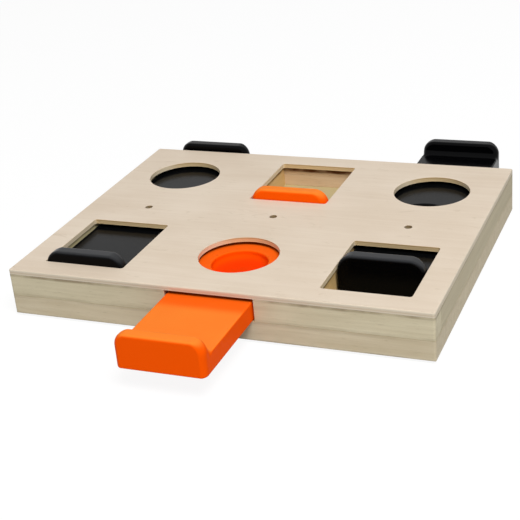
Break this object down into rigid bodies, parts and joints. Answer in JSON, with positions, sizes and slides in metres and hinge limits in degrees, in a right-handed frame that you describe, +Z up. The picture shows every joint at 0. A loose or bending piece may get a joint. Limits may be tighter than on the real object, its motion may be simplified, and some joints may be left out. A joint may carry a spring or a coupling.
{
  "type": "dog puzzle feeder toy",
  "caption": "Wooden dog puzzle board with windows and treat holes in its top plate, over moulded sliders that carry treat cups and lips to push and pull.",
  "frame": {"origin": "centre of the base board's underside, on the column and row middle lines", "axes": "+Z up through the top plate, +Y along the sliders towards the back edge, where the black sliders come out, +X to the right seen from the front, where the orange slider comes out"},
  "size_m": [0.34, 0.4078, 0.0486],
  "materials": {
    "plywood": "sanded, clear matt",
    "rail_wood": "sanded, clear matt",
    "base_wood": "sanded, clear matt",
    "black_plastic": "satin gloss",
    "orange_plastic": "satin gloss",
    "screw_steel": "zinc plated",
    "foot_rubber": "matt"
  },
  "bodies": {
    "board": {"base_board": "base_wood", "side_rail_left": "rail_wood", "side_rail_right": "rail_wood", "front_rail_left": "rail_wood", "front_rail_right": "rail_wood", "back_rail_middle": "rail_wood", "divider_left": "rail_wood", "divider_right": "rail_wood", "top_plate": "plywood", "base_screws": "screw_steel", "foot_front_left": "foot_rubber", "foot_front_right": "foot_rubber", "foot_back_left": "foot_rubber", "foot_back_right": "foot_rubber"},
    "left_slider": {"slider_left": "black_plastic"},
    "middle_slider": {"slider_middle": "orange_plastic"},
    "right_slider": {"slider_right": "black_plastic"}
  },
  "joints": [
    {"name": "left_slide", "type": "slide", "parent": "board", "child": "left_slider", "axis": [0, 1, 0], "range_m": [0, 0.07091]},
    {"name": "middle_slide", "type": "slide", "parent": "board", "child": "middle_slider", "axis": [0, 1, 0], "range_m": [0, 0.07091]},
    {"name": "right_slide", "type": "slide", "parent": "board", "child": "right_slider", "axis": [0, 1, 0], "range_m": [-0.0375, 0.03341]}
  ]
}
